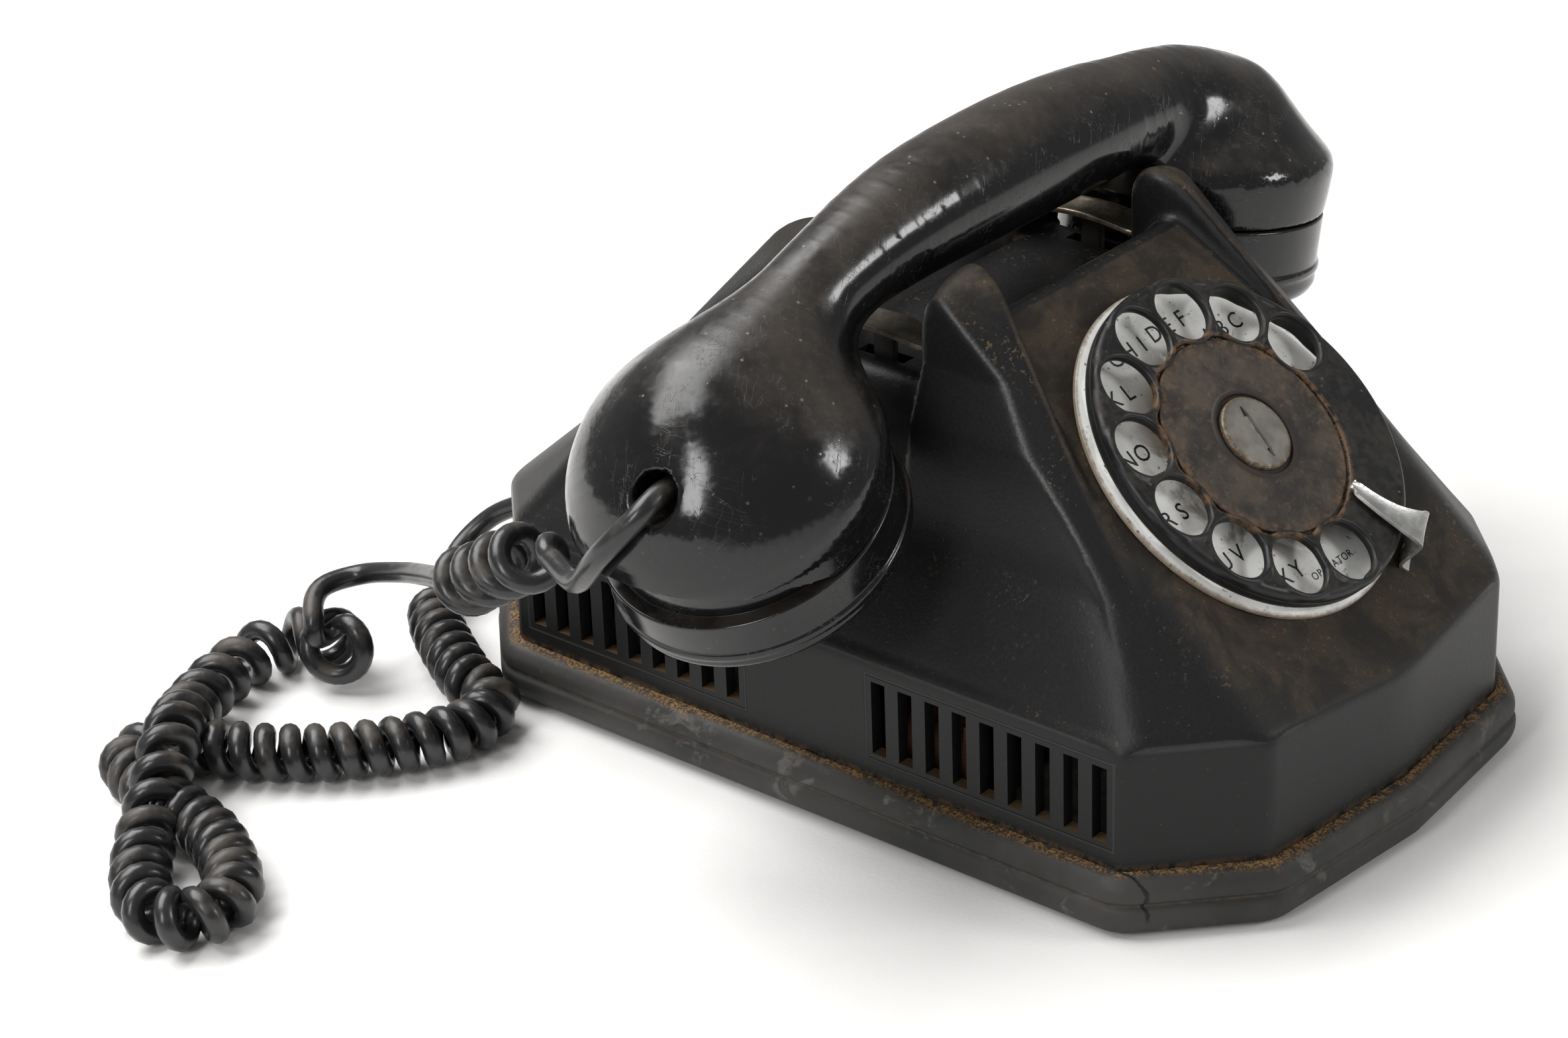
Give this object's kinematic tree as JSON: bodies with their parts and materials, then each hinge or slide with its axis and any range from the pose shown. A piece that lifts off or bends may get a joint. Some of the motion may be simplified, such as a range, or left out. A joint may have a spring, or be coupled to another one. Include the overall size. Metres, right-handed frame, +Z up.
{
  "type": "corded desk telephone",
  "caption": "Desk telephone with a rotary dial, a cradled handset with a curly cord, a sloping moulded housing with vents and a rubber skirt.",
  "frame": {"origin": "on the desk plane, under the crossing of the housing's two centre planes", "axes": "+X to the phone's right along the handset, -Y towards the user and the dial, +Z up"},
  "size_m": [0.2991, 0.2545, 0.1373],
  "materials": {
    "housing_bakelite": "satin moulded bakelite with dust",
    "plated_steel": "dull plated steel",
    "skirt_rubber": "aged rubber",
    "screw_steel": "turned steel",
    "grommet_rubber": "moulded rubber",
    "enamel_plate": "white enamel, worn",
    "dial_steel": "dull pressed steel",
    "wheel_enamel": "black enamel",
    "rusted_card": "rusted steel disc",
    "hub_metal": "dull nickel",
    "gear_brass": "machined brass",
    "spring_steel": "spring steel",
    "contact_alloy": "nickel silver leaves",
    "stop_metal": "worn plated steel",
    "hook_metal": "tarnished nickel on brass",
    "coil_winding": "varnished winding",
    "core_iron": "soft iron",
    "gong_metal": "bell metal",
    "can_metal": "metal can",
    "terminal_plastic": "phenolic block",
    "handset_bakelite": "glossy bakelite, scratched",
    "cord_rubber": "black rubber"
  },
  "bodies": {
    "base": {"housing": "housing_bakelite", "base_plate": "plated_steel", "base_skirt": "skirt_rubber", "base_screws": "screw_steel", "line_cord_grommet": "grommet_rubber", "handset_cord_grommet": "grommet_rubber", "number_plate": "enamel_plate", "dial_case": "dial_steel", "dial_frame": "dial_steel", "dial_pillars": "screw_steel", "mainspring": "spring_steel", "governor_cup": "dial_steel", "pulse_contacts": "contact_alloy", "finger_stop": "stop_metal", "finger_stop_screw": "screw_steel", "hook_posts": "screw_steel", "hook_springs": "spring_steel", "hook_contacts": "contact_alloy", "ringer_base": "plated_steel", "ringer_coils": "coil_winding", "ringer_cores": "core_iron", "gong_posts": "screw_steel", "left_gong": "gong_metal", "right_gong": "gong_metal", "gong_screws": "screw_steel", "clapper_pin": "screw_steel", "induction_coil": "coil_winding", "condenser": "can_metal", "terminal_block": "terminal_plastic", "terminal_screws": "gear_brass", "handset_cord_short_curl": "cord_rubber", "handset_cord_stretched": "cord_rubber", "handset_cord_long_curl": "cord_rubber", "handset_cord_tail": "cord_rubber"},
    "dial_rotor": {"finger_wheel": "wheel_enamel", "card_disc": "rusted_card", "wheel_hub": "hub_metal", "dial_shaft": "screw_steel", "main_gear": "gear_brass"},
    "governor": {"governor_pinion": "gear_brass", "governor_weights": "gear_brass"},
    "hook": {"hook_lever": "hook_metal"},
    "clapper": {"clapper": "core_iron"},
    "handset": {"handset_handle": "handset_bakelite", "transmitter_cap": "handset_bakelite", "receiver_cap": "handset_bakelite", "transmitter_capsule": "can_metal", "receiver_capsule": "can_metal", "handset_cord_lead": "cord_rubber"}
  },
  "joints": [
    {"name": "handset_lift", "type": "slide", "parent": "base", "child": "handset", "axis": [0, 0, 1], "range_m": [0, 0.1]},
    {"name": "finger_wheel_turn", "type": "hinge", "parent": "base", "child": "dial_rotor", "pos_m": [0, -0.0668, 0.0813], "axis": [0, 0.66, -0.7513], "range_deg": [0, 331], "stiffness_Nm_per_rad": 0.01, "springref_deg": -28.65},
    {"name": "governor_spin", "type": "hinge", "parent": "base", "child": "governor", "pos_m": [-0.01843, -0.0633, 0.05776], "axis": [0, 0.66, -0.7513], "range_deg": [-1324, 0]},
    {"name": "hook_rise", "type": "slide", "parent": "base", "child": "hook", "axis": [0, 0, 1], "range_m": [0, 0.005], "deforming": ["hook_springs"]},
    {"name": "clapper_swing", "type": "hinge", "parent": "base", "child": "clapper", "pos_m": [0, 0.022, 0.04], "axis": [0, 0, 1], "range_deg": [-1.8, 1.8]}
  ],
  "couplings": [
    {"joint": "governor_spin", "follows": "finger_wheel_turn", "ratio": -4},
    {"joint": "hook_rise", "follows": "handset_lift", "ratio": 0.05}
  ]
}
